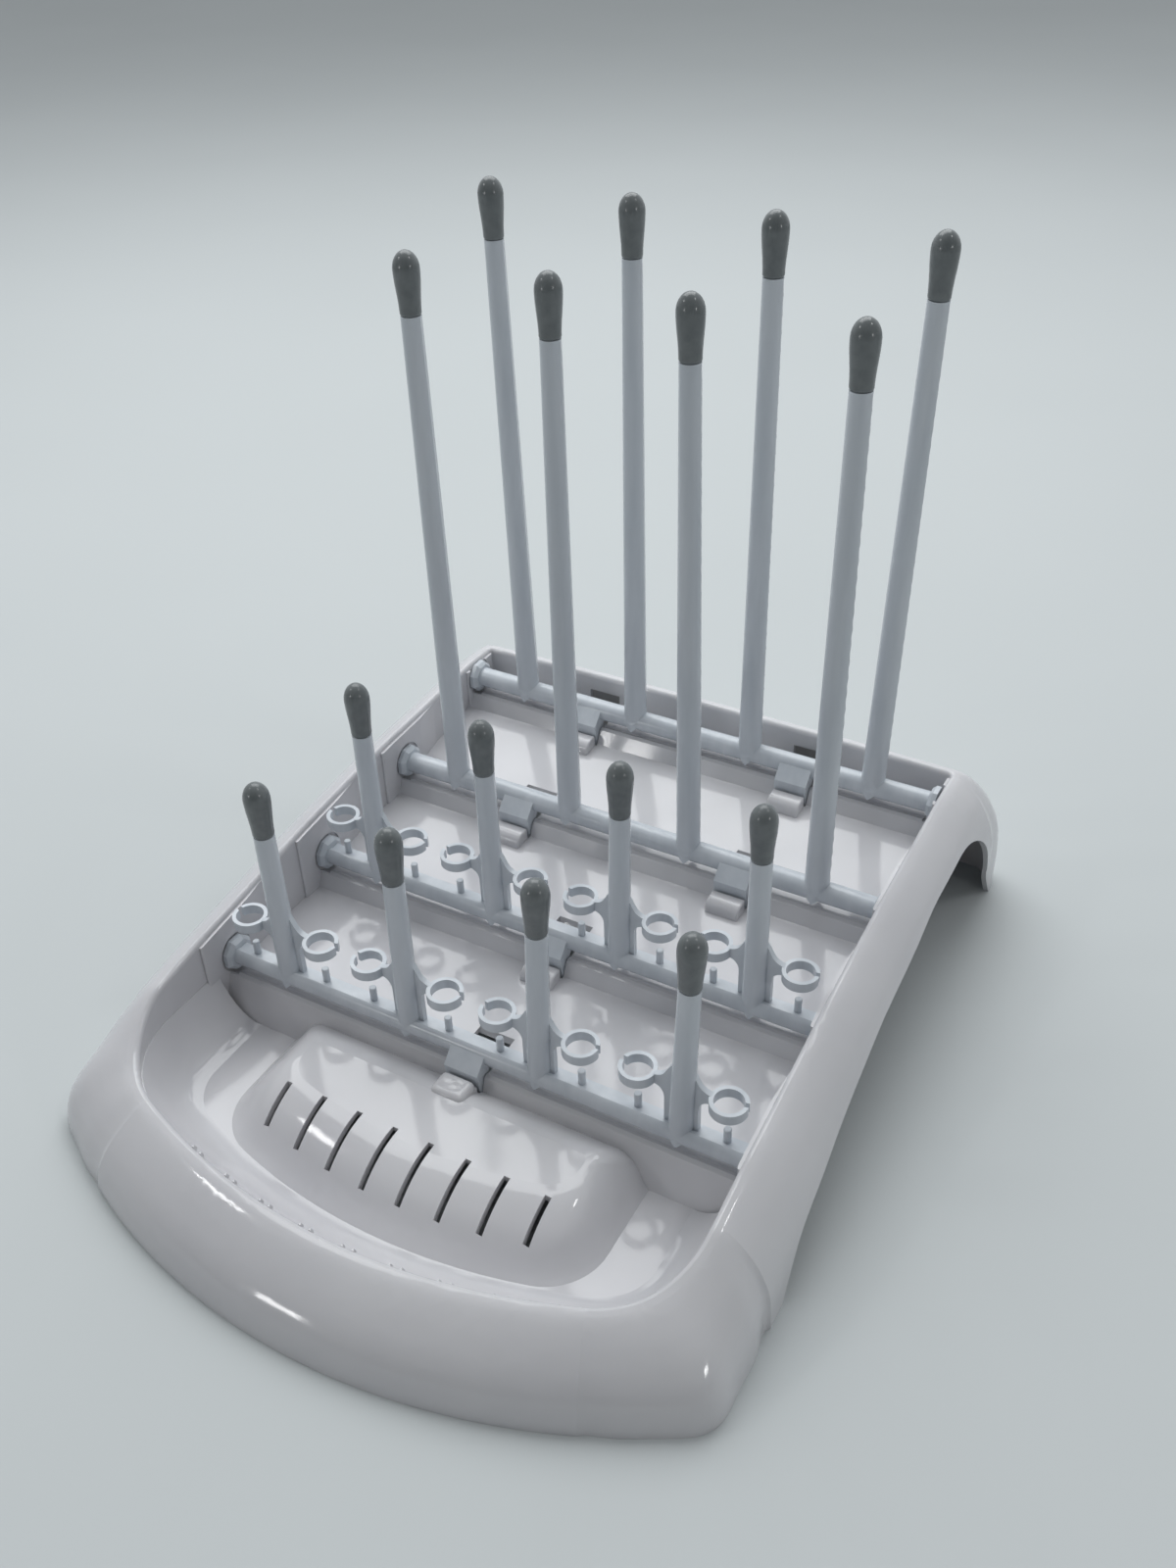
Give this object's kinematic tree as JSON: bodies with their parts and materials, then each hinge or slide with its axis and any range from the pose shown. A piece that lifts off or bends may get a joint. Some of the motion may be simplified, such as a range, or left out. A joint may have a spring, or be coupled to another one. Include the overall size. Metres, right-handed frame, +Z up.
{
  "type": "bottle drying rack",
  "caption": "White plastic bottle drying rack with rows of upright grey-tipped pegs that fold forward over a stepped drip tray.",
  "frame": {"origin": "middle of the footprint, on the plane the tray stands on", "axes": "+X to the right along the bars, +Y to the back, +Z up"},
  "size_m": [0.2654, 0.3341, 0.2763],
  "materials": {
    "tray_white": "smooth moulded gloss",
    "peg_white": "smooth moulded satin",
    "tip_grey": "soft matt moulding"
  },
  "bodies": {
    "tray": {"tray": "tray_white"},
    "row1_rack": {"row1_bar": "peg_white", "row1_cap1": "tip_grey", "row1_cap2": "tip_grey", "row1_cap3": "tip_grey", "row1_cap4": "tip_grey"},
    "row2_rack": {"row2_bar": "peg_white", "row2_cap1": "tip_grey", "row2_cap2": "tip_grey", "row2_cap3": "tip_grey", "row2_cap4": "tip_grey"},
    "row3_rack": {"row3_bar": "peg_white", "row3_cap1": "tip_grey", "row3_cap2": "tip_grey", "row3_cap3": "tip_grey", "row3_cap4": "tip_grey"},
    "row4_rack": {"row4_bar": "peg_white", "row4_cap1": "tip_grey", "row4_cap2": "tip_grey", "row4_cap3": "tip_grey", "row4_cap4": "tip_grey"}
  },
  "joints": [
    {"name": "row1_hinge", "type": "hinge", "parent": "tray", "child": "row1_rack", "pos_m": [0, -0.05, 0.0277], "axis": [1, 0, 0], "range_deg": [0, 85]},
    {"name": "row2_hinge", "type": "hinge", "parent": "tray", "child": "row2_rack", "pos_m": [0, 0.01, 0.0343], "axis": [1, 0, 0], "range_deg": [0, 85]},
    {"name": "row3_hinge", "type": "hinge", "parent": "tray", "child": "row3_rack", "pos_m": [0, 0.07, 0.0428], "axis": [1, 0, 0], "range_deg": [0, 85]},
    {"name": "row4_hinge", "type": "hinge", "parent": "tray", "child": "row4_rack", "pos_m": [0, 0.13, 0.0533], "axis": [1, 0, 0], "range_deg": [0, 85]}
  ],
  "couplings": [
    {"joint": "row1_hinge", "follows": "row4_hinge", "ratio": 1},
    {"joint": "row2_hinge", "follows": "row4_hinge", "ratio": 1},
    {"joint": "row3_hinge", "follows": "row4_hinge", "ratio": 1}
  ]
}
